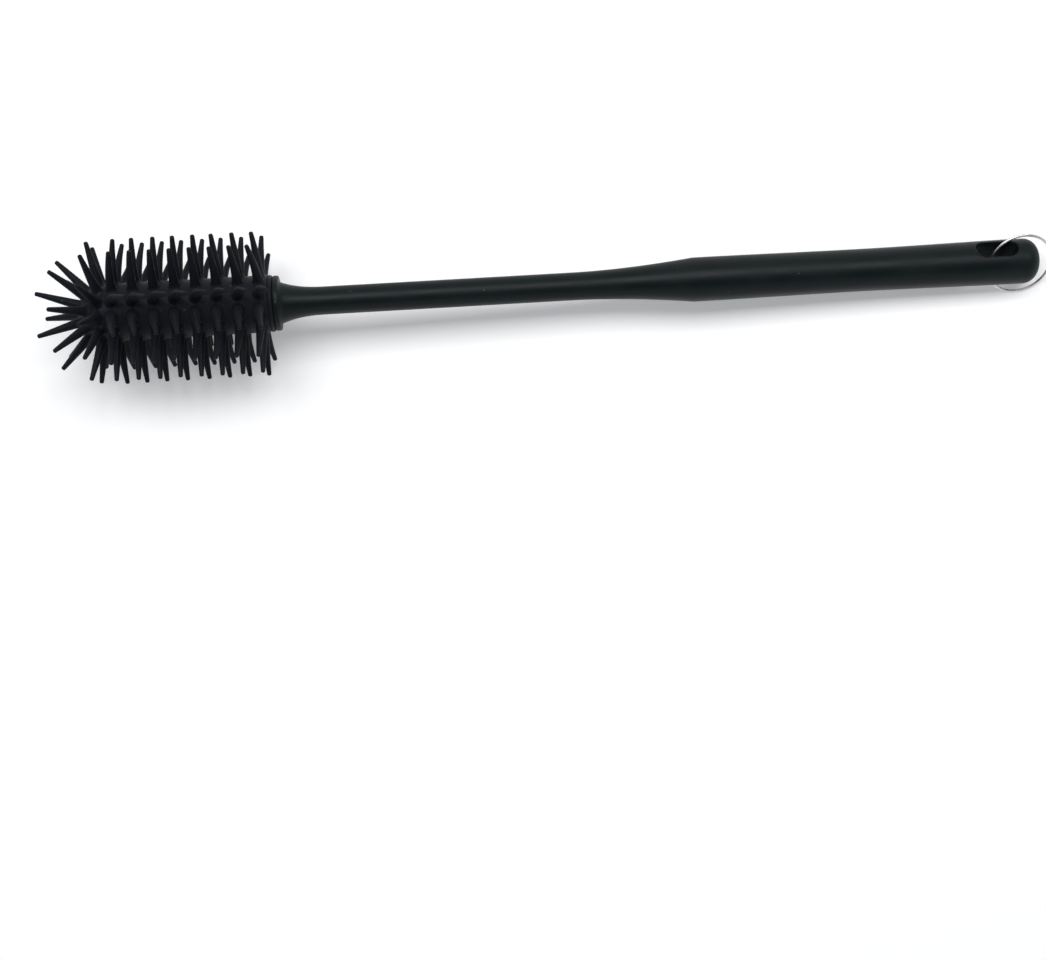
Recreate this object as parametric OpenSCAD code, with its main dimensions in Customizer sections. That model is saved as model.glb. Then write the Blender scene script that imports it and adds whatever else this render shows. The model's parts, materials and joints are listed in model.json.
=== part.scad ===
// Bottle brush: a slim one-piece handle, a soft moulded head with rings of tapered pins,
// and a wire ring for hanging it up.
// The brush is drawn along X, with the seat of its head at x = 0 and its nose towards -X.
// It is then laid on the floor, where it rests on two pins of its last ring and on its grip.

/* [Head] */
// Diameter of the head's body, without its pins
body_d = 17.8; // [16:0.2:24]
// Length of a pin, from the body's surface to the pin's tip
pin_len = 13.8; // [9:0.2:18]
// Diameter of a pin at its root
pin_root_d = 3.1; // [1.8:0.1:3.4]
// Diameter of a pin near its tip
pin_tip_d = 1.3; // [0.8:0.05:1.6]
// Pins in each ring of the straight part, an even number
pin_count = 12; // [8:2:14]
// Rings of pins on the straight part
ring_count = 8; // [7:1:10]
// Distance from one ring of pins to the next
ring_pitch = 6.4; // [5.6:0.1:8]
// Distance from the head's open end to its first ring
end_margin = 4; // [2.6:0.1:6]
// Distance from the last straight ring to the middle of the round nose
nose_margin = 2.4; // [2:0.1:8]
// Slope of the first ring of nose pins, forwards from square to the body
nose_slope = 13; // [5:1:16]
// Further slope of each next ring of nose pins
nose_step = 28.5; // [26:0.5:30]
// Bevel round the head's open end
head_bevel = 0.6; // [0.2:0.1:1]

/* [Spigot inside the head] */
// Diameter of the spigot that holds the head
spigot_d = 8.4; // [6:0.2:10]
// Length of the spigot
spigot_len = 46; // [38:1:50]
// Barbed ribs on the spigot
rib_count = 4; // [2:1:4]
// Distance from one rib to the next
rib_pitch = 9; // [6:0.5:9]
// Height of a rib
rib_h = 0.7; // [0.3:0.1:1]
// Length of a rib's sloping side
rib_len = 2.4; // [1:0.1:4]
// Width of the two keys that stop the head from turning
key_w = 2; // [1.2:0.1:3]
// Height of a key above the spigot
key_h = 1; // [0.5:0.1:1.4]
// Length of a key
key_len = 7; // [4:0.5:8]
// Clearance between the spigot and the head's socket
socket_gap = 0.1; // [0.05:0.05:0.3]

/* [Handle] */
// Length of the handle that shows, from the head's seat to the end of the grip
handle_len = 244; // [220:1:280]
// Diameter of the flange that the head seats on
flange_d = 17.2; // [15:0.2:24]
// Thickness of the flange
flange_t = 1.9; // [1.6:0.1:4]
// Bevel round both edges of the flange
flange_bevel = 0.5; // [0.2:0.1:0.7]
// Diameter of the neck where it meets the flange
neck_d = 13.2; // [11:0.1:14.5]
// Length of the neck, down to the shaft
neck_len = 14; // [8:1:24]
// Diameter of the shaft
shaft_d = 8.8; // [7:0.1:10.5]
// Distance from the head's seat to the start of the flare
flare_start = 94; // [60:1:115]
// Length of the flare from the shaft to the grip
flare_len = 38.5; // [20:0.5:50]
// Diameter of the grip at its shoulder
grip_d = 14; // [12:0.1:18]
// Diameter of the grip at its waist
waist_d = 13.5; // [11:0.1:17]
// Diameter of the grip near its end
end_d = 14.4; // [13.4:0.1:18]
// Radius that rounds the end of the grip
end_round = 4.5; // [2:0.5:6.5]

/* [Hanging slot and ring] */
// Length of the slot
slot_len = 13.6; // [11:0.2:18]
// Width of the slot
slot_w = 6; // [5:0.1:7]
// Solid length between the slot and the end of the grip
end_bar = 7.6; // [5:0.1:9]
// Lean of the slot from upright, round the handle
slot_lean = 34; // [20:1:40]
// Diameter of the ring, at the middle of its wire
ring_d = 20.4; // [20:0.2:24]
// Distance from the middle of the ring to the end of the grip
ring_inset = 5; // [3:0.2:5.6]
// Diameter of the ring's wire
wire_d = 0.9; // [0.8:0.1:1.4]
// Gap between the ring's butted ends
butt_gap = 0.3; // [0.2:0.1:1]
// Clearance between the ring's wire and the slot's edges
wire_gap = 0.3; // [0.2:0.05:0.6]

/* [Hidden] */

body_r = body_d / 2;
pin_reach = body_r + pin_len;
pin_sink = 0.8;                 // depth of a pin's root below the surface
tip_flat = 0.5;                 // share of a pin's tip radius that is flat
tip_bevel = 0.6;                // height of a pin's bevelled tip, as a share of its radius
nose_pins = [pin_count, 8, 3];  // pins in each ring over the nose
nose_turns = [0.5, 0, 0.5];     // turn of each of those rings, in steps of its own pins
nose_x = -end_margin - (ring_count - 1) * ring_pitch - nose_margin;
flange_r = flange_d / 2;
neck_r = neck_d / 2;
shaft_r = shaft_d / 2;
grip_r = grip_d / 2;
waist_r = waist_d / 2;
end_r = end_d / 2;
grip_start = flare_start + flare_len;
grip_end = handle_len - end_round;
slot_r = slot_w / 2;
slot_mid = handle_len - end_bar - slot_len / 2;
ring_r = ring_d / 2;
wire_r = wire_d / 2;
butt_angle = butt_gap / ring_r * 180 / PI;
ring_seam = 40;                 // where the butted ends lie, round the ring

pin_fn = 14;
turn_fn = 48;
wire_fn = 16;

// Rest on the floor: a bottom pair of pins of the first ring, and the grip's rounded end.
half_step = 180 / pin_count;
tip_reach = pin_reach * cos(half_step) + tip_flat * pin_tip_d / 2 * sin(half_step);
rest_run = grip_end + end_margin;
rest_rise = pin_reach * cos(half_step) - (end_r - end_round);
rest_round = tip_reach - pin_reach * cos(half_step) - end_round;
tilt = atan2(rest_rise, rest_run) + asin(rest_round / norm([rest_run, rest_rise]));
seat_z = (end_r - end_round) * cos(tilt) + end_round + grip_end * sin(tilt);

// The ring leans on the slot's edge, with its wire centred in the slot and its foot on the floor.
ring_swing = asin((slot_r - wire_r - wire_gap) / end_r);
ring_lean = slot_lean + ring_swing;
ring_x = handle_len - ring_inset;
ring_drop = norm([sin(tilt), cos(tilt) * cos(ring_lean)]);
ring_rise = (ring_r * ring_drop + wire_r - (seat_z - ring_x * sin(tilt))) / (cos(tilt) * cos(ring_lean));

// Middle of the whole length, from the lowest nose pin's tip to the far side of the ring.
last_slope = nose_slope + (len(nose_pins) - 1) * nose_step;
nose_tip_x = nose_x - pin_reach * sin(last_slope);
nose_tip_z = -pin_reach * cos(last_slope);
low_x = nose_tip_x * cos(tilt) + nose_tip_z * sin(tilt) - tip_flat * pin_tip_d / 2 * cos(last_slope);
ring_far = norm([cos(tilt), sin(tilt) * cos(ring_lean)]);
high_x = ring_x * cos(tilt) + ring_rise * cos(ring_lean) * sin(tilt) + ring_r * ring_far + wire_r;
mid_x = (low_x + high_x) / 2;

function ease(t) = t * t * (3 - 2 * t);
function neck_at(t) = shaft_r + (neck_r - shaft_r) * pow(1 - t, 2.5);
function flare_at(t) = shaft_r + (grip_r - shaft_r) * pow(t, 1.8);
function grip_at(t) = waist_r + ((t < 0.5 ? grip_r : end_r) - waist_r) * ease(abs(2 * t - 1));

// Turns its children, drawn as (radius, place along the brush), round the brush's axis.
module turned() {
    rotate([0, 90, 0]) rotate_extrude($fn = turn_fn) children();
}

// Lays the brush on the floor, with the origin under its middle.
module laid_down() {
    translate([-mid_x, 0, seat_z]) rotate([0, tilt, 0]) children();
}

// The spigot, its barbed ribs and its keys; grow makes the socket that it fits.
module spigot(grow = 0) {
    r = spigot_d / 2 + grow;
    turned() polygon(concat(
        [[0, 0], [r, 0]],
        [for (i = [0 : rib_count - 1]) let (x = -key_len - rib_len - i * rib_pitch)
            each [[r, x + rib_len + grow], [r + rib_h, x + rib_len + grow], [r, x - grow]]],
        [[r, -spigot_len - grow], [0, -spigot_len - grow]]
    ));
    for (side = [0, 180]) rotate([side, 0, 0])
        translate([-key_len - grow, -key_w / 2 - grow, 0])
            cube([key_len + grow, key_w + 2 * grow, r + key_h]);
}

// One tapered pin, standing on the surface at z = 0.
module pin() {
    tip_r = pin_tip_d / 2;
    tip_z = pin_len - tip_bevel * tip_r;
    root_r = pin_root_d / 2;
    sunk_r = root_r + (root_r - tip_r) * pin_sink / tip_z;
    rotate_extrude($fn = pin_fn) polygon([
        [0, -pin_sink], [sunk_r, -pin_sink], [tip_r, tip_z], [tip_flat * tip_r, pin_len], [0, pin_len]
    ]);
}

// A ring of pins at x, turned by a share of a step and sloping forwards from square to the body.
module pin_ring(x, count, turn = 0.5, slope = 0) {
    for (i = [0 : count - 1])
        translate([x, 0, 0]) rotate([(i + turn) * 360 / count, 0, 0]) rotate([0, -slope, 0])
            translate([0, 0, body_r]) pin();
}

module head_body() {
    turned() {
        polygon([[0, 0], [body_r - head_bevel, 0], [body_r, -head_bevel], [body_r, nose_x], [0, nose_x]]);
        translate([0, nose_x]) intersection() {
            circle(body_r, $fn = turn_fn);
            translate([0, -body_r]) square(body_r);
        }
    }
}

module brush_head() {
    color("#1b1b1d") laid_down() difference() {
        union() {
            head_body();
            for (i = [0 : ring_count - 1]) pin_ring(-end_margin - i * ring_pitch, pin_count);
            for (i = [0 : len(nose_pins) - 1])
                pin_ring(nose_x, nose_pins[i], nose_turns[i], nose_slope + i * nose_step);
        }
        spigot(socket_gap);
    }
}

// The handle's outline from the flange to the round end of the grip.
module handle_outline() {
    b = flange_bevel;
    polygon(concat(
        [[0, 0], [flange_r - b, 0], [flange_r, b], [flange_r, flange_t - b], [flange_r - b, flange_t]],
        [for (t = [0 : 0.125 : 1]) [neck_at(t), flange_t + t * neck_len]],
        [for (t = [0 : 0.125 : 1]) [flare_at(t), flare_start + t * flare_len]],
        [for (t = [0.125 : 0.125 : 1]) [grip_at(t), grip_start + t * (grip_end - grip_start)]],
        [[end_r - end_round, grip_end], [end_r - end_round, handle_len], [0, handle_len]]
    ));
    translate([end_r - end_round, grip_end]) intersection() {
        circle(end_round, $fn = turn_fn);
        square(end_round);
    }
}

module slot() {
    straight = slot_len - slot_w;
    translate([slot_mid, 0, 0]) rotate([-slot_lean, 0, 0]) {
        for (side = [-1, 1]) translate([side * straight / 2, 0, 0])
            cylinder(h = 2 * end_d, r = slot_r, center = true, $fn = turn_fn);
        cube([straight, slot_w, 2 * end_d], center = true);
    }
}

module handle() {
    color("#202022") laid_down() difference() {
        union() {
            turned() handle_outline();
            spigot();
        }
        slot();
    }
}

module hanging_ring() {
    color("#b9bcc0") laid_down()
        translate([ring_x, 0, 0]) rotate([-ring_lean, 0, 0]) translate([0, 0, ring_rise])
            rotate([90, 0, 0]) rotate([0, 0, ring_seam + butt_angle])
                rotate_extrude(angle = 360 - butt_angle, $fn = turn_fn)
                    translate([ring_r, 0]) circle(wire_r, $fn = wire_fn);
}

handle();
brush_head();
hanging_ring();
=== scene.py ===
# %% [markdown]
# # A silicone bottle brush
#
# The brush is three pieces: a one-piece plastic handle, a soft silicone head that is pushed
# onto it, and a thin steel ring for hanging it up. The solid model of each piece is already
# laid on the floor, where two pins of the ring next to the handle and the end of the grip carry
# it. Here the handle and the head get a finer skin of the same form, and all three get finishes.

# %% Load the frame
import json
import math
import random
import bmesh
import bpy
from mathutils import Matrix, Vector


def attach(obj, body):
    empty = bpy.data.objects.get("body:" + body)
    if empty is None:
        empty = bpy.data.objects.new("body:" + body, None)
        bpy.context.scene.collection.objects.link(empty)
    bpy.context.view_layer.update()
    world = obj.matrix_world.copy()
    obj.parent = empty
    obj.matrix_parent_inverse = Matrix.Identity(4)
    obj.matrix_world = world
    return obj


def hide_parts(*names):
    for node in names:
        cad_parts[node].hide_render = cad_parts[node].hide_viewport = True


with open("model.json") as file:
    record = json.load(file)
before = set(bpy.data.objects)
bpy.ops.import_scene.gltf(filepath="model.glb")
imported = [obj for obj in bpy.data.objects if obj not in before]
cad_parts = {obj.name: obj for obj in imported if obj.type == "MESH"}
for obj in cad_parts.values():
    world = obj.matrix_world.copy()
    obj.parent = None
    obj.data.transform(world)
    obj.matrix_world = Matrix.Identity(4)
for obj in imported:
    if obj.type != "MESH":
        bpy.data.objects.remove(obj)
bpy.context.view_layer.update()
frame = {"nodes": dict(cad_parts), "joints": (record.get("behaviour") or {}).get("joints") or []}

# %% [markdown]
# ## The brush's own axis
#
# The brush is not level: its head stands on its pins, so the axis rises towards the nose by
# about three and a half degrees. Every form below is drawn straight, along x with the head's
# seat at zero, in millimetres. One helper then lays a drawn point in place. The axis comes
# from the ring's hinge, because that hinge turns about the handle's own axis. The hinge's
# middle lies a known distance from the end of the grip, and that gives the head's seat.

# %% Lay drawn points in place
MM = 0.001
HANDLE_LEN = 244.0
RING_INSET = 5.0
hinge = frame["joints"][0]
ALONG = Vector(hinge["axis"]).normalized()
SEAT = Vector(hinge["pos_m"]) - ALONG * ((HANDLE_LEN - RING_INSET) * MM)
ACROSS = Vector((0.0, 1.0, 0.0))
ABOVE = ALONG.cross(ACROSS)


def laid(x, y, z):
    return SEAT + ALONG * (x * MM) + ACROSS * (y * MM) + ABOVE * (z * MM)


def laid_round(x, radius, angle):
    return laid(x, radius * math.sin(angle), radius * math.cos(angle))


print("tilt in degrees:", round(math.degrees(math.asin(-ALONG.z)), 3))
print("middle of the head's seat:", [round(v, 5) for v in SEAT])

# %% [markdown]
# ## From points to a mesh
#
# Both skins are made of rings of points joined by quads. A small class keeps the points and
# the faces together. A strip between two rings of the same count is the one tool that the
# turned body, the slot's mouth and the pins all use.

# %% Points and strips
TAU = 2.0 * math.pi


class Skin:
    def __init__(self):
        self.points = []
        self.faces = []

    def ring(self, positions):
        first = len(self.points)
        self.points.extend(positions)
        return list(range(first, len(self.points)))

    def strip(self, one, two):
        for i in range(len(one)):
            j = (i + 1) % len(one)
            self.faces.append((one[i], one[j], two[j], two[i]))

    def cap(self, ring, middle):
        tip = len(self.points)
        self.points.append(middle)
        for i in range(len(ring)):
            self.faces.append((ring[i], ring[(i + 1) % len(ring)], tip))

    def build(self, name):
        mesh = bpy.data.meshes.new(name)
        mesh.from_pydata([tuple(p) for p in self.points], [], self.faces)
        mesh.validate()
        mesh.update()
        for polygon in mesh.polygons:
            polygon.use_smooth = True
        piece = bpy.data.objects.new(name, mesh)
        bpy.context.scene.collection.objects.link(piece)
        print(name, "has", len(mesh.vertices), "points and", len(mesh.polygons), "faces")
        return piece


print("a skin can take: ring, strip, cap, build")

# %% [markdown]
# ## The handle's outline
#
# The real handle is one moulding. Its outline runs from the spigot inside the head, over the
# thin flange that the head is pushed against, down a flared neck to a slim shaft, and out to
# a thicker grip with a slight waist. It could be a subdivision surface over a few loops. A
# list of exact radii is chosen, because the flare's reflections show every ripple.

# %% Radii along the handle
FLANGE_R = 8.6
FLANGE_T = 1.9
NECK_R = 6.6
NECK_LEN = 14.0
NECK_CURVE = 2.5
SHAFT_R = 4.4
SHAFT_MIDDLE = 60.0
FLARE_START = 94.0
FLARE_LEN = 38.5
FLARE_CURVE = 1.8
GRIP_R = 7.0
WAIST_R = 6.75
END_R = 7.2
END_ROUND = 4.5
GRIP_END = HANDLE_LEN - END_ROUND
GRIP_START = FLARE_START + FLARE_LEN


def ease(t):
    return t * t * (3.0 - 2.0 * t)


def neck_radius(x):
    t = min(max((x - FLANGE_T) / NECK_LEN, 0.0), 1.0)
    return SHAFT_R + (NECK_R - SHAFT_R) * (1.0 - t) ** NECK_CURVE


def flare_radius(x):
    t = min(max((x - FLARE_START) / FLARE_LEN, 0.0), 1.0)
    return SHAFT_R + (GRIP_R - SHAFT_R) * t ** FLARE_CURVE


def grip_radius(x):
    t = min(max((x - GRIP_START) / (GRIP_END - GRIP_START), 0.0), 1.0)
    side = GRIP_R if t < 0.5 else END_R
    return WAIST_R + (side - WAIST_R) * ease(abs(2.0 * t - 1.0))


def handle_radius(x):
    if x < SHAFT_MIDDLE:
        return neck_radius(x)
    if x < GRIP_START:
        return flare_radius(x)
    return grip_radius(x)


for place in (2.0, 6.0, SHAFT_MIDDLE, 110.0, 134.0, 190.0, GRIP_END):
    print("handle diameter at", place, "mm:", round(2.0 * handle_radius(place), 2), "mm")

# %% [markdown]
# ## The turned body, left open round the slot
#
# The slot goes right through the grip, and its two mouths have soft edges. A boolean would
# leave ragged faces there, so the turned rings simply stop at a patch round each mouth. The
# patch is filled by rings that change from the patch's border to the slot's outline.
#
# The spigot carries four barbed ribs that hold the head on. They stay inside the head, and
# they are drawn all the same, because each skin is a whole piece when it is taken apart.

# %% Outline from the spigot to the neck
def spread(start, stop, count):
    return [start + (stop - start) * i / count for i in range(count + 1)]


def arc(middle_x, middle_r, radius, start, stop, count):
    angles = spread(math.radians(start), math.radians(stop), count)
    return [(middle_x + radius * math.cos(a), middle_r + radius * math.sin(a)) for a in angles]


def turned_along(start, stop, count):
    return [(x, handle_radius(x)) for x in spread(start, stop, count)]


SPIGOT_R = 4.2
SPIGOT_END = -46.1
SPIGOT_BEVEL = 0.8
RIB_LEN = 2.4
RIB_PITCH = 9.0
RIB_H = 0.7
KEY_LEN = 7.0
FLANGE_ROUND = 0.55
# a hair's breadth, between points that would otherwise fall together
HAIR = 0.02
spigot = [(SPIGOT_END, 0.01), (SPIGOT_END, SPIGOT_R - SPIGOT_BEVEL)]
spigot += [(SPIGOT_END + SPIGOT_BEVEL, SPIGOT_R)]
for i in (3, 2, 1, 0):
    rib = -KEY_LEN - RIB_LEN - RIB_PITCH * i
    rib_end = rib + RIB_LEN
    spigot += [(rib, SPIGOT_R), (rib_end, SPIGOT_R + RIB_H), (rib_end + HAIR, SPIGOT_R)]
spigot += [(-HAIR, SPIGOT_R)]
flange = [(0.0, 4.3), (0.0, 6.5), (0.0, 7.7)]
flange += arc(FLANGE_ROUND, FLANGE_R - FLANGE_ROUND, FLANGE_ROUND, 180, 90, 4)
flange += arc(FLANGE_T - FLANGE_ROUND, FLANGE_R - FLANGE_ROUND, FLANGE_ROUND, 90, 0, 4)
flange += [(FLANGE_T, 7.5), (FLANGE_T, 7.1), (FLANGE_T + 0.1, 6.8)]
neck = turned_along(FLANGE_T + 0.5, FLANGE_T + NECK_LEN, 14)
print("rings up to the shaft:", len(spigot + flange + neck))

# %% Outline from the shaft to the end of the grip
PATCH_START = 219.5
PATCH_RINGS = 19
shaft = turned_along(19.0, FLARE_START - 2.0, 25)
flare = turned_along(FLARE_START, GRIP_START - 1.2, 24)
soft_corner = [(GRIP_START - 0.4, GRIP_R - 0.045), (GRIP_START + 0.4, GRIP_R - 0.015)]
soft_corner += [(GRIP_START + 1.6, GRIP_R - 0.004)]
grip = turned_along(GRIP_START + 3.5, PATCH_START - 1.0, 42)
patch = turned_along(PATCH_START, GRIP_END, PATCH_RINGS)
end = arc(GRIP_END, END_R - END_ROUND, END_ROUND, 90, 0, 9)[1:]
end += [(HANDLE_LEN, 2.2), (HANDLE_LEN, 1.2)]
outline = spigot + flange + neck + shaft + flare + soft_corner + grip + patch + end
patch_first = len(outline) - len(end) - len(patch)
patch_last = patch_first + PATCH_RINGS
print("rings along the handle:", len(outline))

# %% Build the body round the two mouths
AROUND = 64
PATCH_STEPS = 11
SLOT_LEAN = math.radians(34.0)
handle_skin = Skin()
step = TAU / AROUND
turned = []
for x, radius in outline:
    circle = [laid_round(x, radius, SLOT_LEAN + j * step) for j in range(AROUND)]
    turned.append(handle_skin.ring(circle))


def in_patch(ring_index, j):
    along = patch_first <= ring_index < patch_last
    upper = j < PATCH_STEPS or j >= AROUND - PATCH_STEPS
    lower = abs(j + 0.5 - AROUND / 2) < PATCH_STEPS
    return along and (upper or lower)


for i in range(len(outline) - 1):
    for j in range(AROUND):
        if not in_patch(i, j):
            k = (j + 1) % AROUND
            handle_skin.faces.append((turned[i][j], turned[i][k], turned[i + 1][k], turned[i + 1][j]))
handle_skin.cap(turned[0], laid(SPIGOT_END, 0.0, 0.0))
handle_skin.cap(turned[-1], laid(HANDLE_LEN, 0.0, 0.0))
print("faces round the two patches:", len(handle_skin.faces))

# %% [markdown]
# ## The slot's soft mouth
#
# Seen along the slot, its outline is two half circles and two straights: every point of it is
# the same distance from a short middle line. So a point of the patch's border finds its place
# on the outline by going straight to that line. The mouth's edge is rounded as a moulded edge
# is, by half a millimetre, and the wall then drops to the other mouth.

# %% The border of a patch
border = [(i, PATCH_STEPS) for i in range(patch_first, patch_last)]
border += [(patch_last, j) for j in range(PATCH_STEPS, -PATCH_STEPS, -1)]
border += [(i, -PATCH_STEPS) for i in range(patch_last, patch_first, -1)]
border += [(patch_first, j) for j in range(-PATCH_STEPS, PATCH_STEPS)]
print("points round a patch:", len(border))

# %% A ring of points round a mouth
SLOT_LEN = 13.6
SLOT_W = 6.0
END_BAR = 7.6
SLOT_MIDDLE = HANDLE_LEN - END_BAR - SLOT_LEN / 2
SLOT_R = SLOT_W / 2
HALF_LINE = (SLOT_LEN - SLOT_W) / 2


def slot_point(x, off, height):
    y = off * math.cos(SLOT_LEAN) + height * math.sin(SLOT_LEAN)
    z = -off * math.sin(SLOT_LEAN) + height * math.cos(SLOT_LEAN)
    return laid(x, y, z)


def mouth_ring(side, inset, share, drop):
    positions = []
    for i, j in border:
        x, radius = outline[i]
        off = radius * math.sin(j * step)
        line_x = min(max(x, SLOT_MIDDLE - HALF_LINE), SLOT_MIDDLE + HALF_LINE)
        reach = math.hypot(x - line_x, off)
        distance = SLOT_R + inset + (reach - SLOT_R - inset) * share
        mouth_x = line_x + (x - line_x) * distance / reach
        mouth_off = off * distance / reach
        height = math.sqrt(grip_radius(mouth_x) ** 2 - mouth_off ** 2) - drop
        positions.append(slot_point(mouth_x, mouth_off, side * height))
    return handle_skin.ring(positions)


print("the slot's middle lies at", SLOT_MIDDLE, "mm")

# %% Round the two mouths' edges
EDGE_ROUND = 0.5
edge_rings = {}
for side in (1, -1):
    rings = []
    for degrees in spread(0.0, 90.0, 5):
        a = math.radians(degrees)
        inset = EDGE_ROUND * (1.0 - math.cos(a))
        rings.append(mouth_ring(side, inset, 0.0, EDGE_ROUND * (1.0 - math.sin(a))))
    for share in spread(0.0, 1.0, 6)[1:-1]:
        rings.append(mouth_ring(side, EDGE_ROUND, share, 0.0))
    rings.append([turned[i][(j if side > 0 else AROUND // 2 - j) % AROUND] for i, j in border])
    for one, two in zip(rings, rings[1:]):
        handle_skin.strip(one, two)
    edge_rings[side] = rings[0]
print("rings from a mouth's edge to its patch's border:", len(rings))

# %% Drop the wall from mouth to mouth
top = [handle_skin.points[p] for p in edge_rings[1]]
bottom = [handle_skin.points[p] for p in edge_rings[-1]]
wall = [edge_rings[1]]
for share in spread(0.0, 1.0, 8)[1:-1]:
    wall.append(handle_skin.ring([a.lerp(b, share) for a, b in zip(top, bottom)]))
wall.append(edge_rings[-1])
for one, two in zip(wall, wall[1:]):
    handle_skin.strip(one, two)
print("rings down the slot's wall:", len(wall))

# %% [markdown]
# ## Two keys, and the finished handle
#
# Two small keys beside the flange stop the head from turning on the spigot. They are plain
# blocks that start inside the spigot. All faces are then made to look outwards, because the
# strips were drawn in more than one direction, and a bump follows the side that a face looks
# to. The skin is then hung on the brush's body, and the solid handle is hidden.

# %% Add the keys
KEY_HALF_W = 1.0
KEY_FOOT = 3.9
KEY_TOP = 5.15
key_corners = [(-KEY_HALF_W, KEY_FOOT), (KEY_HALF_W, KEY_FOOT)]
key_corners += [(KEY_HALF_W, KEY_TOP), (-KEY_HALF_W, KEY_TOP)]
for side in (1, -1):
    far, near = [
        handle_skin.ring([laid(x, side * y, side * z) for y, z in key_corners])
        for x in (-KEY_LEN, -HAIR)
    ]
    handle_skin.strip(far, near)
    handle_skin.faces += [tuple(far), tuple(near)]
print("points with the keys:", len(handle_skin.points))

# %% Finish the handle's skin
MERGE_WITHIN = 0.000001


def mend_normals(piece):
    work = bmesh.new()
    work.from_mesh(piece.data)
    bmesh.ops.remove_doubles(work, verts=work.verts, dist=MERGE_WITHIN)
    bmesh.ops.recalc_face_normals(work, faces=work.faces)
    work.to_mesh(piece.data)
    work.free()


handle_piece = handle_skin.build("handle_skin")
mend_normals(handle_piece)
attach(handle_piece, "brush")
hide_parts("handle")

# %% [markdown]
# ## The head's sleeve
#
# The soft head is a hollow sleeve with a round nose. Its open end has a thin rim, set off by
# a shallow groove, where the mould closes on it. It is turned like the handle, with enough
# rings over the nose that its outline stays round.

# %% Turn the sleeve
BODY_R = 8.9
RING_PITCH = 6.4
END_MARGIN = 4.0
RINGS = 8
NOSE_MARGIN = 2.4
NOSE_X = -END_MARGIN - (RINGS - 1) * RING_PITCH - NOSE_MARGIN
head_skin = Skin()
sleeve = [(-HAIR, 4.4), (-HAIR, 6.5), (-HAIR, 8.1), (-0.08, 8.4), (-0.22, 8.62)]
sleeve += [(-0.45, 8.78), (-0.75, 8.86), (-1.05, 8.88), (-1.25, 8.84), (-1.38, 8.7)]
sleeve += [(-1.55, 8.66), (-1.72, 8.72), (-1.88, 8.86), (-2.1, BODY_R)]
sleeve += [(x, BODY_R) for x in spread(-2.6, NOSE_X, 34)]
for degrees in spread(0.0, 88.0, 18)[1:]:
    a = math.radians(degrees)
    sleeve.append((NOSE_X - BODY_R * math.sin(a), BODY_R * math.cos(a)))
sleeve_rings = []
for x, radius in sleeve:
    circle = [laid_round(x, radius, j * step) for j in range(AROUND)]
    sleeve_rings.append(head_skin.ring(circle))
for one, two in zip(sleeve_rings, sleeve_rings[1:]):
    head_skin.strip(one, two)
head_skin.cap(sleeve_rings[-1], laid(NOSE_X - BODY_R, 0.0, 0.0))
print("rings along the sleeve:", len(sleeve_rings))

# %% [markdown]
# ## One soft pin
#
# A pin flares where it leaves the sleeve, tapers evenly and ends blunt and round. Soft pins
# are never quite straight: each one leans and curls. A pin is a stack of rings along a bent
# middle line. The line leaves the sleeve straight and leans more and more towards the tip, as
# a flexible rod does that is fixed at its root. The lean grows by a power of the distance from
# the root, and its mean over the pin is the lean that was asked for. Each ring stays square to
# the line, so that a bent pin keeps its thickness and its length.

# %% The outline of a pin
PIN_LEN = 13.8
ROOT_R = 1.52
TIP_R = 0.69
TAPER_START = 1.1
TAPER_END = 13.4
pin_shape = [(-0.45, 2.4), (-0.2, 2.15), (0.0, 1.94), (0.25, 1.74), (0.6, 1.6), (TAPER_START, ROOT_R)]
for s in (2.2, 3.6, 5.2, 7.0, 9.0, 11.0, 12.5, TAPER_END):
    taper = (s - TAPER_START) / (TAPER_END - TAPER_START)
    pin_shape.append((s, ROOT_R + (TIP_R - ROOT_R) * taper))
pin_shape += [(13.58, 0.6), (13.7, 0.49), (13.78, 0.32), (PIN_LEN, 0.14)]
print("rings in a pin:", len(pin_shape))

# %% Draw a pin
PIN_SIDES = 14
BEND_POWER = 0.6
pin_turns = [TAU * j / PIN_SIDES for j in range(PIN_SIDES)]


def add_pin(root, out, lean):
    side = out.orthogonal().normalized()
    middle = root.copy()
    reached = 0.0
    rings = []
    for s, radius in pin_shape:
        share = max(0.5 * (s + reached), 0.0) / PIN_LEN
        heading = (out + lean * ((1.0 + BEND_POWER) * share ** BEND_POWER)).normalized()
        middle = middle + heading * ((s - reached) * MM)
        reached = s
        square = (side - heading * side.dot(heading)).normalized()
        other = heading.cross(square)
        spokes = [square * math.cos(a) + other * math.sin(a) for a in pin_turns]
        rings.append(head_skin.ring([middle + spoke * (radius * MM) for spoke in spokes]))
    for one, two in zip(rings, rings[1:]):
        head_skin.strip(one, two)
    head_skin.cap(rings[-1], middle + heading * (HAIR * MM))


print("sides of a pin:", PIN_SIDES)

# %% [markdown]
# ## Rings of pins
#
# Twelve pins stand in each of eight rings, in line from ring to ring, and three more rings
# of twelve, eight and three pins fan out over the nose. Soft pins keep the set of the way
# they were packed, so each row leans in its own way: so far along the brush at the first
# ring, a little more or less with each ring, and so far round the sleeve. The two lowest
# rows are spread apart. Their first pins carry the brush, so those two stay straight. Angles
# round the sleeve are counted from straight up, and leans are in degrees.

# %% Set one pin
chance = random.Random(11)


def stray(amount):
    return chance.uniform(-amount, amount)


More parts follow.
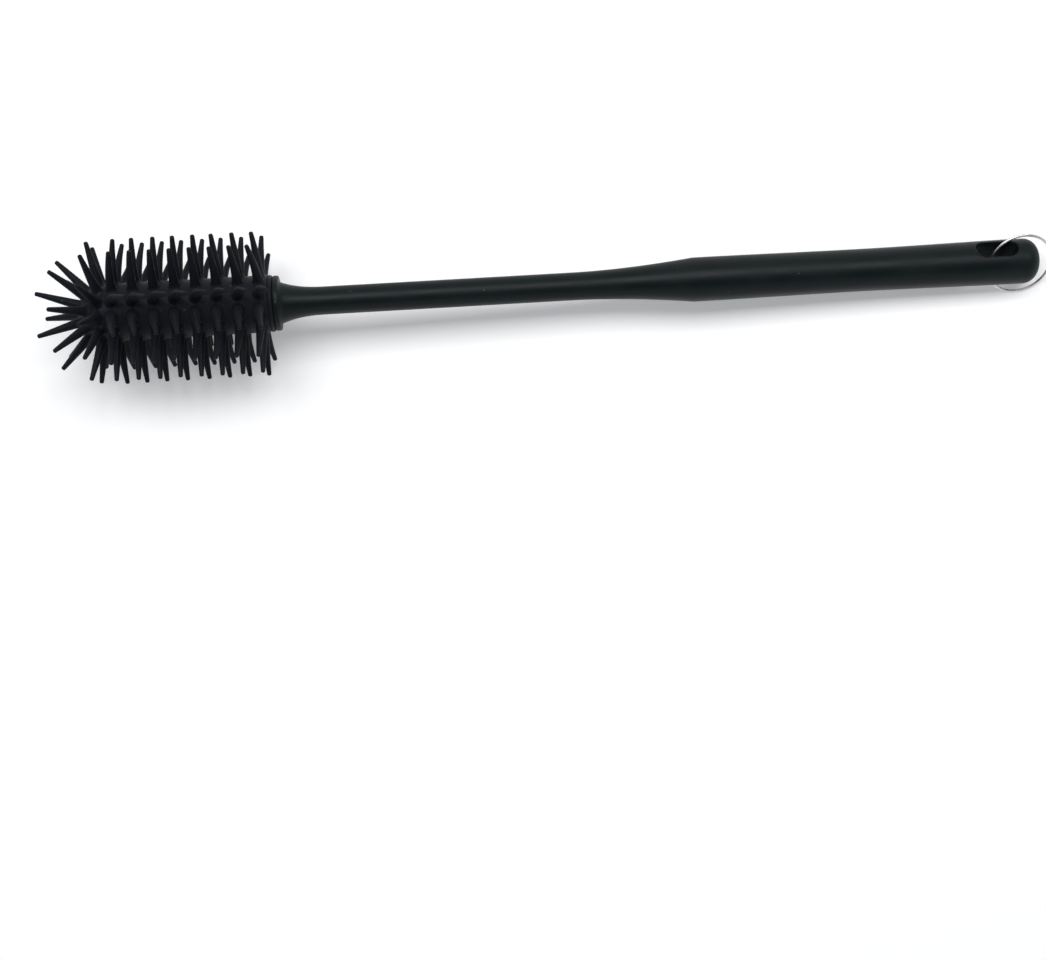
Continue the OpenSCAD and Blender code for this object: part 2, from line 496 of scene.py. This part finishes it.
def set_pin(x, angle, slope, forward, sideways, stray_by):
    radial = ACROSS * math.sin(angle) + ABOVE * math.cos(angle)
    round_about = ACROSS * math.cos(angle) - ABOVE * math.sin(angle)
    out = radial * math.cos(slope) - ALONG * math.sin(slope)
    onward = -ALONG * math.cos(slope) - radial * math.sin(slope)
    root = laid(x, 0.0, 0.0) + out * (BODY_R * MM)
    forward = math.radians(forward + stray(stray_by))
    sideways = math.radians(sideways + stray(stray_by))
    add_pin(root, out, onward * math.tan(forward) + round_about * math.tan(sideways))


print("pins stand on a sleeve", 2.0 * BODY_R, "mm across")

# %% Set the pins of the straight part
STRAY = 1.2
CARRYING_STRAY = 0.2
CARRYING_ROWS = (165, 195)
# angle of a row: its lean along the brush at the first ring, the change with each ring, and
# its lean round the sleeve
row_leans = {
    15: (-15.5, -2.3, -18.0),
    45: (7.5, -2.1, 1.5),
    75: (5.8, -1.5, -1.0),
    105: (-2.8, -1.0, -5.0),
    135: (-8.5, -0.7, -13.0),
    165: (-3.0, 0.0, -21.0),
    195: (-1.0, 0.0, 21.0),
    225: (-8.0, 0.0, 4.0),
    255: (-3.4, 0.0, 2.0),
    285: (1.0, -0.2, 0.0),
    315: (3.2, -0.6, -9.0),
    345: (-6.5, -0.7, -17.0),
}
for ring in range(RINGS):
    x = -END_MARGIN - ring * RING_PITCH
    for turn, (start, change, sideways) in row_leans.items():
        angle = math.radians(turn)
        if ring == 0 and turn in CARRYING_ROWS:
            set_pin(x, angle, 0.0, 0.0, 0.0, CARRYING_STRAY)
        else:
            set_pin(x, angle, 0.0, start + change * ring, sideways, STRAY)
print("pins on the straight part:", RINGS * len(row_leans))

# %% Set the pins of the nose
NOSE_SLOPE = 13.0
NOSE_STEP = 28.5
NOSE_STRAY = 2.0
nose_rows = ((12, 0.5), (8, 0.0), (3, 0.5))
for row, (count, turn) in enumerate(nose_rows):
    slope = math.radians(NOSE_SLOPE + NOSE_STEP * row)
    for column in range(count):
        set_pin(NOSE_X, TAU * (column + turn) / count, slope, 0.0, 0.0, NOSE_STRAY)
print("pins on the nose:", sum(count for count, turn in nose_rows))

# %% Finish the head's skin
head_piece = head_skin.build("head_skin")
mend_normals(head_piece)
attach(head_piece, "brush")
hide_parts("brush_head")

# %% [markdown]
# ## Shared effects
#
# Three effects turn up on more than one piece: the fine grain that a sparked mould leaves,
# specks of dust and lint, and the thin line where two halves of a mould meet. Each is a node
# group that puts out a mask or a height, so each material can use it at its own strength.

# %% Start a node group
def new_group(name, inputs, outputs):
    group = bpy.data.node_groups.new(name, "ShaderNodeTree")
    for label, kind, value in inputs:
        socket = group.interface.new_socket(name=label, in_out="INPUT", socket_type=kind)
        socket.default_value = value
    for label, kind in outputs:
        group.interface.new_socket(name=label, in_out="OUTPUT", socket_type=kind)
    return group, group.nodes.new("NodeGroupInput"), group.nodes.new("NodeGroupOutput")


print("groups so far:", len(bpy.data.node_groups))

# %% Nodes that the groups are made of
def maths(tree, operation, one, two=None):
    node = tree.nodes.new("ShaderNodeMath")
    node.operation = operation
    for socket, value in zip(node.inputs, (one, two)):
        if isinstance(value, (int, float)):
            socket.default_value = value
        elif value is not None:
            tree.links.new(value, socket)
    return node.outputs[0]


def ramp_between(tree, value, low, high):
    node = tree.nodes.new("ShaderNodeMapRange")
    node.interpolation_type = "SMOOTHSTEP"
    node.inputs["From Min"].default_value = low
    node.inputs["From Max"].default_value = high
    tree.links.new(value, node.inputs["Value"])
    return node.outputs["Result"]


def noise(tree, place, scale, detail, roughness=0.5):
    node = tree.nodes.new("ShaderNodeTexNoise")
    node.inputs["Detail"].default_value = detail
    node.inputs["Roughness"].default_value = roughness
    tree.links.new(place, node.inputs["Vector"])
    tree.links.new(scale, node.inputs["Scale"])
    return node.outputs["Fac"]


print("three kinds of node are ready: maths, ramp, noise")

# %% [markdown]
# ### Moulded grain
#
# Plastic and silicone both copy the fine pits of their mould. The pits are a few hundredths
# of a millimetre across, and over them lies a slow unevenness from shrinking. The group
# mixes a fast noise with a slow one and puts out one height.

# %% Build the grain group
grain_group, grain_in, grain_out = new_group(
    "moulded_grain",
    [
        ("Fine Scale", "NodeSocketFloat", 2600.0),
        ("Slow Scale", "NodeSocketFloat", 90.0),
        ("Slow Share", "NodeSocketFloat", 0.4),
    ],
    [("Height", "NodeSocketFloat"), ("Slow Mask", "NodeSocketFloat")],
)
place = grain_group.nodes.new("ShaderNodeTexCoord").outputs["Object"]
fine = noise(grain_group, place, grain_in.outputs["Fine Scale"], 3.0, 0.6)
slow = noise(grain_group, place, grain_in.outputs["Slow Scale"], 2.0)
slow_part = maths(grain_group, "MULTIPLY", slow, grain_in.outputs["Slow Share"])
height = maths(grain_group, "ADD", fine, slow_part)
grain_group.links.new(height, grain_out.inputs["Height"])
grain_group.links.new(ramp_between(grain_group, slow, 0.35, 0.65), grain_out.inputs["Slow Mask"])
print("group:", grain_group.name)

# %% [markdown]
# ### Dust and lint
#
# A matt black thing always carries a few pale specks. A cell pattern gives each speck its
# place, and a cell's own colour decides whether that cell holds one. Short stretched specks
# read as lint, so the pattern is squeezed along one way.

# %% Build the dust group
dust_group, dust_in, dust_out = new_group(
    "dust_specks",
    [
        ("Scale", "NodeSocketFloat", 420.0),
        ("Size", "NodeSocketFloat", 0.16),
        ("Share", "NodeSocketFloat", 0.12),
    ],
    [("Mask", "NodeSocketFloat")],
)
place = dust_group.nodes.new("ShaderNodeTexCoord").outputs["Object"]
squeeze = dust_group.nodes.new("ShaderNodeMapping")
squeeze.inputs["Scale"].default_value = (0.6, 1.0, 1.3)
dust_group.links.new(place, squeeze.inputs["Vector"])
cells = dust_group.nodes.new("ShaderNodeTexVoronoi")
dust_group.links.new(squeeze.outputs["Vector"], cells.inputs["Vector"])
dust_group.links.new(dust_in.outputs["Scale"], cells.inputs["Scale"])
near = maths(dust_group, "LESS_THAN", cells.outputs["Distance"], dust_in.outputs["Size"])
tint = dust_group.nodes.new("ShaderNodeSeparateColor")
dust_group.links.new(cells.outputs["Color"], tint.inputs["Color"])
chosen = maths(dust_group, "LESS_THAN", tint.outputs["Red"], dust_in.outputs["Share"])
speck = maths(dust_group, "MULTIPLY", near, chosen)
dust_group.links.new(speck, dust_out.inputs["Mask"])
print("group:", dust_group.name)

# %% [markdown]
# ### Parting line
#
# The two halves of a mould meet in a plane through the brush's axis, and a thin line stands
# up there. The group takes the plane's direction and a point's distance from it.

# %% Build the parting line group
line_group, line_in, line_out = new_group(
    "parting_line",
    [
        ("Across", "NodeSocketVector", (0.0, 0.0, 1.0)),
        ("Offset", "NodeSocketFloat", 0.0),
        ("Half Width", "NodeSocketFloat", 0.00009),
    ],
    [("Mask", "NodeSocketFloat")],
)
place = line_group.nodes.new("ShaderNodeTexCoord").outputs["Object"]
dot = line_group.nodes.new("ShaderNodeVectorMath")
dot.operation = "DOT_PRODUCT"
line_group.links.new(place, dot.inputs[0])
line_group.links.new(line_in.outputs["Across"], dot.inputs[1])
apart = maths(line_group, "SUBTRACT", dot.outputs["Value"], line_in.outputs["Offset"])
apart = maths(line_group, "ABSOLUTE", apart)
fade = maths(line_group, "DIVIDE", apart, line_in.outputs["Half Width"])
raised = maths(line_group, "SUBTRACT", 1.0, ramp_between(line_group, fade, 0.0, 1.0))
line_group.links.new(raised, line_out.inputs["Mask"])
print("group:", line_group.name)

# %% [markdown]
# ## Black plastic for the handle
#
# The handle is through-dyed polypropylene with a satin skin: nearly black, a little cool,
# with a broad soft highlight. The grain breaks the highlight up, a faint parting line runs
# along both sides, and slow patches change how shiny it is, as handling does.

# %% Start a material
def new_material(name):
    material = bpy.data.materials.new(name)
    material.use_nodes = True
    tree = material.node_tree
    return material, tree, tree.nodes["Principled BSDF"]


def place_group(tree, group, **values):
    node = tree.nodes.new("ShaderNodeGroup")
    node.node_tree = group
    for label, value in values.items():
        node.inputs[label.replace("_", " ")].default_value = value
    return node.outputs


print("materials so far:", len(bpy.data.materials))

# %% Nodes that the materials are made of
# a Mix node shows its sockets by kind, and these are the ones for colours
COLOUR_A = 6
COLOUR_B = 7
COLOUR_RESULT = 2


def blend_colour(tree, factor, one, two):
    node = tree.nodes.new("ShaderNodeMix")
    node.data_type = "RGBA"
    tree.links.new(factor, node.inputs["Factor"])
    for index, value in ((COLOUR_A, one), (COLOUR_B, two)):
        if isinstance(value, tuple):
            node.inputs[index].default_value = (*value, 1.0)
        else:
            tree.links.new(value, node.inputs[index])
    return node.outputs[COLOUR_RESULT]


def blend_value(tree, factor, low, high):
    node = tree.nodes.new("ShaderNodeMapRange")
    node.inputs["To Min"].default_value = low
    node.inputs["To Max"].default_value = high
    tree.links.new(factor, node.inputs["Value"])
    return node.outputs["Result"]


def bump(tree, height, strength, distance, below=None):
    node = tree.nodes.new("ShaderNodeBump")
    node.inputs["Strength"].default_value = strength
    node.inputs["Distance"].default_value = distance
    tree.links.new(height, node.inputs["Height"])
    if below is not None:
        tree.links.new(below, node.inputs["Normal"])
    return node.outputs["Normal"]


print("three kinds of node are ready: colour blend, value blend, bump")

# %% Put a material on a piece
def finish_piece(piece, material):
    for held in piece.material_slots:
        held.link = "OBJECT"
        held.material = material
    if not piece.material_slots:
        piece.data.materials.append(material)


print("pieces to finish:", handle_piece.name, head_piece.name, "hanging_ring")

# %% Make the plastic
plastic, tree, shader = new_material("black_plastic_satin")
grain = place_group(tree, grain_group, Fine_Scale=3200.0, Slow_Scale=55.0, Slow_Share=0.5)
dust = place_group(tree, dust_group, Scale=520.0, Size=0.12, Share=0.04)
line = place_group(tree, line_group, Across=tuple(ABOVE), Offset=SEAT.dot(ABOVE), Half_Width=0.00012)
base = blend_colour(tree, grain["Slow Mask"], (0.0026, 0.0060, 0.0067), (0.0036, 0.0074, 0.0083))
base = blend_colour(tree, dust["Mask"], base, (0.035, 0.037, 0.036))
tree.links.new(base, shader.inputs["Base Color"])
tree.links.new(blend_value(tree, grain["Slow Mask"], 0.40, 0.48), shader.inputs["Roughness"])
relief = bump(tree, grain["Height"], 0.25, 0.00004)
relief = bump(tree, line["Mask"], 0.5, 0.00006, relief)
tree.links.new(relief, shader.inputs["Normal"])
shader.inputs["IOR"].default_value = 1.49
shader.inputs["Specular IOR Level"].default_value = 0.16
finish_piece(handle_piece, plastic)
print("finished:", handle_piece.name)

# %% [markdown]
# ## Black silicone for the head
#
# Silicone is softer and more matt. It has a faint bloom that lightens it at glancing angles,
# which the shader's sheen gives, and it holds more dust than the plastic does.

# %% Make the silicone
silicone, tree, shader = new_material("black_silicone_matt")
grain = place_group(tree, grain_group, Fine_Scale=2400.0, Slow_Scale=120.0, Slow_Share=0.7)
dust = place_group(tree, dust_group, Scale=700.0, Size=0.15, Share=0.06)
line = place_group(tree, line_group, Across=tuple(ABOVE), Offset=SEAT.dot(ABOVE), Half_Width=0.0001)
base = blend_colour(tree, grain["Slow Mask"], (0.0038, 0.0053, 0.0084), (0.0052, 0.0070, 0.0104))
base = blend_colour(tree, dust["Mask"], base, (0.04, 0.04, 0.04))
tree.links.new(base, shader.inputs["Base Color"])
tree.links.new(blend_value(tree, grain["Slow Mask"], 0.46, 0.60), shader.inputs["Roughness"])
relief = bump(tree, grain["Height"], 0.3, 0.00005)
relief = bump(tree, line["Mask"], 0.4, 0.00005, relief)
tree.links.new(relief, shader.inputs["Normal"])
shader.inputs["IOR"].default_value = 1.41
shader.inputs["Specular IOR Level"].default_value = 0.16
shader.inputs["Sheen Weight"].default_value = 0.02
shader.inputs["Sheen Roughness"].default_value = 0.5
finish_piece(head_piece, silicone)
print("finished:", head_piece.name)

# %% [markdown]
# ## Drawn steel for the ring
#
# The ring is bright wire, cut and bent round. Drawing the wire leaves fine scratches along
# it. A noise squeezed along the ring would need its own unwrapping, so a fine noise changes
# the roughness a little and a weak bump gives the scratches.

# %% Make the steel
steel, tree, shader = new_material("drawn_steel_wire")
grain = place_group(tree, grain_group, Fine_Scale=5200.0, Slow_Scale=300.0, Slow_Share=0.6)
dust = place_group(tree, dust_group, Scale=900.0, Size=0.12, Share=0.05)
base = blend_colour(tree, grain["Slow Mask"], (0.60, 0.60, 0.60), (0.70, 0.70, 0.69))
base = blend_colour(tree, dust["Mask"], base, (0.35, 0.33, 0.31))
tree.links.new(base, shader.inputs["Base Color"])
tree.links.new(blend_value(tree, grain["Slow Mask"], 0.26, 0.38), shader.inputs["Roughness"])
tree.links.new(bump(tree, grain["Height"], 0.15, 0.00002), shader.inputs["Normal"])
shader.inputs["Metallic"].default_value = 1.0
ring_node = frame["nodes"]["hanging_ring"]
finish_piece(ring_node, steel)
print("finished:", ring_node.name)

# %% [markdown]
# ## A pale floor
#
# The brush lies on a plain floor that is white to the camera and still takes its shadow. A
# brighter lamp would whiten the floor too, but it would grey the black pieces. So the floor
# is a pale paint with a weak glow of its own, which only the camera, mirrors and clear things
# see. It glows more with the distance, where the lamp no longer reaches, so that it runs into
# the white backdrop.

# %% Lay the floor
FLOOR_HALF = 3.0
FLOOR_DROP = 0.00002
floor_corners = [(x * FLOOR_HALF, y * FLOOR_HALF, 0.0) for x, y in ((-1, -1), (1, -1), (1, 1), (-1, 1))]
floor_mesh = bpy.data.meshes.new("floor")
floor_mesh.from_pydata(floor_corners, [], [(0, 1, 2, 3)])
floor = bpy.data.objects.new("floor", floor_mesh)
bpy.context.scene.collection.objects.link(floor)
floor.location.z = -FLOOR_DROP
print("floor laid,", 2.0 * FLOOR_HALF, "m square")

# %% Paint the floor
GLOW_GROWS_FROM = 0.35
GLOW_GROWS_TO = 1.4
NEAR_GLOW = 0.22
FAR_GLOW = 0.72
white, tree, shader = new_material("pale_floor")
rays = tree.nodes.new("ShaderNodeLightPath")
shader.inputs["Base Color"].default_value = (0.86, 0.86, 0.86, 1.0)
shader.inputs["Roughness"].default_value = 0.9
shader.inputs["Specular IOR Level"].default_value = 0.1
shader.inputs["Emission Color"].default_value = (1.0, 1.0, 1.0, 1.0)
seen = maths(tree, "MAXIMUM", rays.outputs["Is Camera Ray"], rays.outputs["Is Glossy Ray"])
seen = maths(tree, "MAXIMUM", seen, rays.outputs["Is Transmission Ray"])
measure = tree.nodes.new("ShaderNodeVectorMath")
measure.operation = "LENGTH"
tree.links.new(tree.nodes.new("ShaderNodeTexCoord").outputs["Object"], measure.inputs[0])
far_off = ramp_between(tree, measure.outputs["Value"], GLOW_GROWS_FROM, GLOW_GROWS_TO)
glow = blend_value(tree, far_off, NEAR_GLOW, FAR_GLOW)
tree.links.new(maths(tree, "MULTIPLY", seen, glow), shader.inputs["Emission Strength"])
floor_mesh.materials.append(white)
print("floor painted with:", white.name)

# %% [markdown]
# ## The room round it
#
# The world does three jobs. To the camera it is plain white. To the surfaces it gives a weak,
# slightly cool light from all sides. To reflections it is a white room that gets dark
# overhead, so that the top of a black thing stays black and its sides catch a soft edge. One
# Light Path node tells the three kinds of ray apart.

# %% Set the world
WALL_TOP = 0.25
ROOF_START = 0.85
WALL_WHITE = 0.95
ROOF_DARK = 0.08
world = bpy.data.worlds.new("studio")
bpy.context.scene.world = world
world.use_nodes = True
tree = world.node_tree
tree.nodes.clear()
rays = tree.nodes.new("ShaderNodeLightPath")
place = tree.nodes.new("ShaderNodeTexCoord").outputs["Generated"]
split = tree.nodes.new("ShaderNodeSeparateXYZ")
tree.links.new(place, split.inputs["Vector"])
overhead = ramp_between(tree, split.outputs["Z"], WALL_TOP, ROOF_START)
dim = blend_value(tree, overhead, WALL_WHITE, ROOF_DARK)
plain = maths(tree, "MAXIMUM", rays.outputs["Is Camera Ray"], rays.outputs["Is Transmission Ray"])
studio = maths(tree, "MAXIMUM", dim, plain)
backdrop = tree.nodes.new("ShaderNodeBackground")
tree.links.new(studio, backdrop.inputs["Color"])
ambient = tree.nodes.new("ShaderNodeBackground")
ambient.inputs["Color"].default_value = (0.30, 0.31, 0.33, 1.0)
shown = maths(tree, "MAXIMUM", plain, rays.outputs["Is Glossy Ray"])
join = tree.nodes.new("ShaderNodeMixShader")
tree.links.new(shown, join.inputs[0])
tree.links.new(ambient.outputs[0], join.inputs[1])
tree.links.new(backdrop.outputs[0], join.inputs[2])
world_out = tree.nodes.new("ShaderNodeOutputWorld")
tree.links.new(join.outputs[0], world_out.inputs["Surface"])
print("world set:", world.name)

# %% [markdown]
# ## Two lamps
#
# A broad softbox hangs above the brush and a little to its far side, so the grip gets one
# wide highlight along its length. A small lamp could do that too, but its highlight would be
# a hard line and its shadow would have a hard edge. A very weak second lamp lifts the near
# side. Both are aimed at the middle of the brush.

# %% Hang the lamps
MIDDLE = Vector((0.0, 0.0, 0.0))


def hang_lamp(name, place, length, width, watts):
    lamp = bpy.data.lights.new(name, "AREA")
    lamp.shape = "RECTANGLE"
    lamp.size = length
    lamp.size_y = width
    lamp.energy = watts
    hung = bpy.data.objects.new(name, lamp)
    bpy.context.scene.collection.objects.link(hung)
    hung.location = place
    aim = MIDDLE - Vector(place)
    hung.rotation_euler = aim.to_track_quat("-Z", "Y").to_euler()
    print(name, "at", place, "gives", watts, "W")


hang_lamp("far_softbox", (0.0, 0.42, 1.2), 1.6, 0.55, 15.5)
hang_lamp("near_fill", (-0.3, -1.1, 0.7), 1.0, 0.5, 0.2)

# %% [markdown]
# ## The camera
#
# The camera looks straight down, as when a thing is laid on a table and shown from above, and
# it is turned a little, so that the brush lies askew in the frame. It stands half a metre
# off, which makes the raised head look a little larger than the grip.

# %% Set up the camera
camera_data = bpy.data.cameras.new("camera")
camera_data.sensor_width = 36.0
camera_data.lens = 53.35
camera = bpy.data.objects.new("camera", camera_data)
bpy.context.scene.collection.objects.link(camera)
camera.location = (-0.014, -0.06017, 0.50696)
camera.rotation_euler = (0.0, 0.0, -math.radians(3.67))
bpy.context.scene.camera = camera
bpy.context.scene.view_settings.view_transform = "Standard"
print("camera looks straight down from", round(camera.location.z, 3), "m")
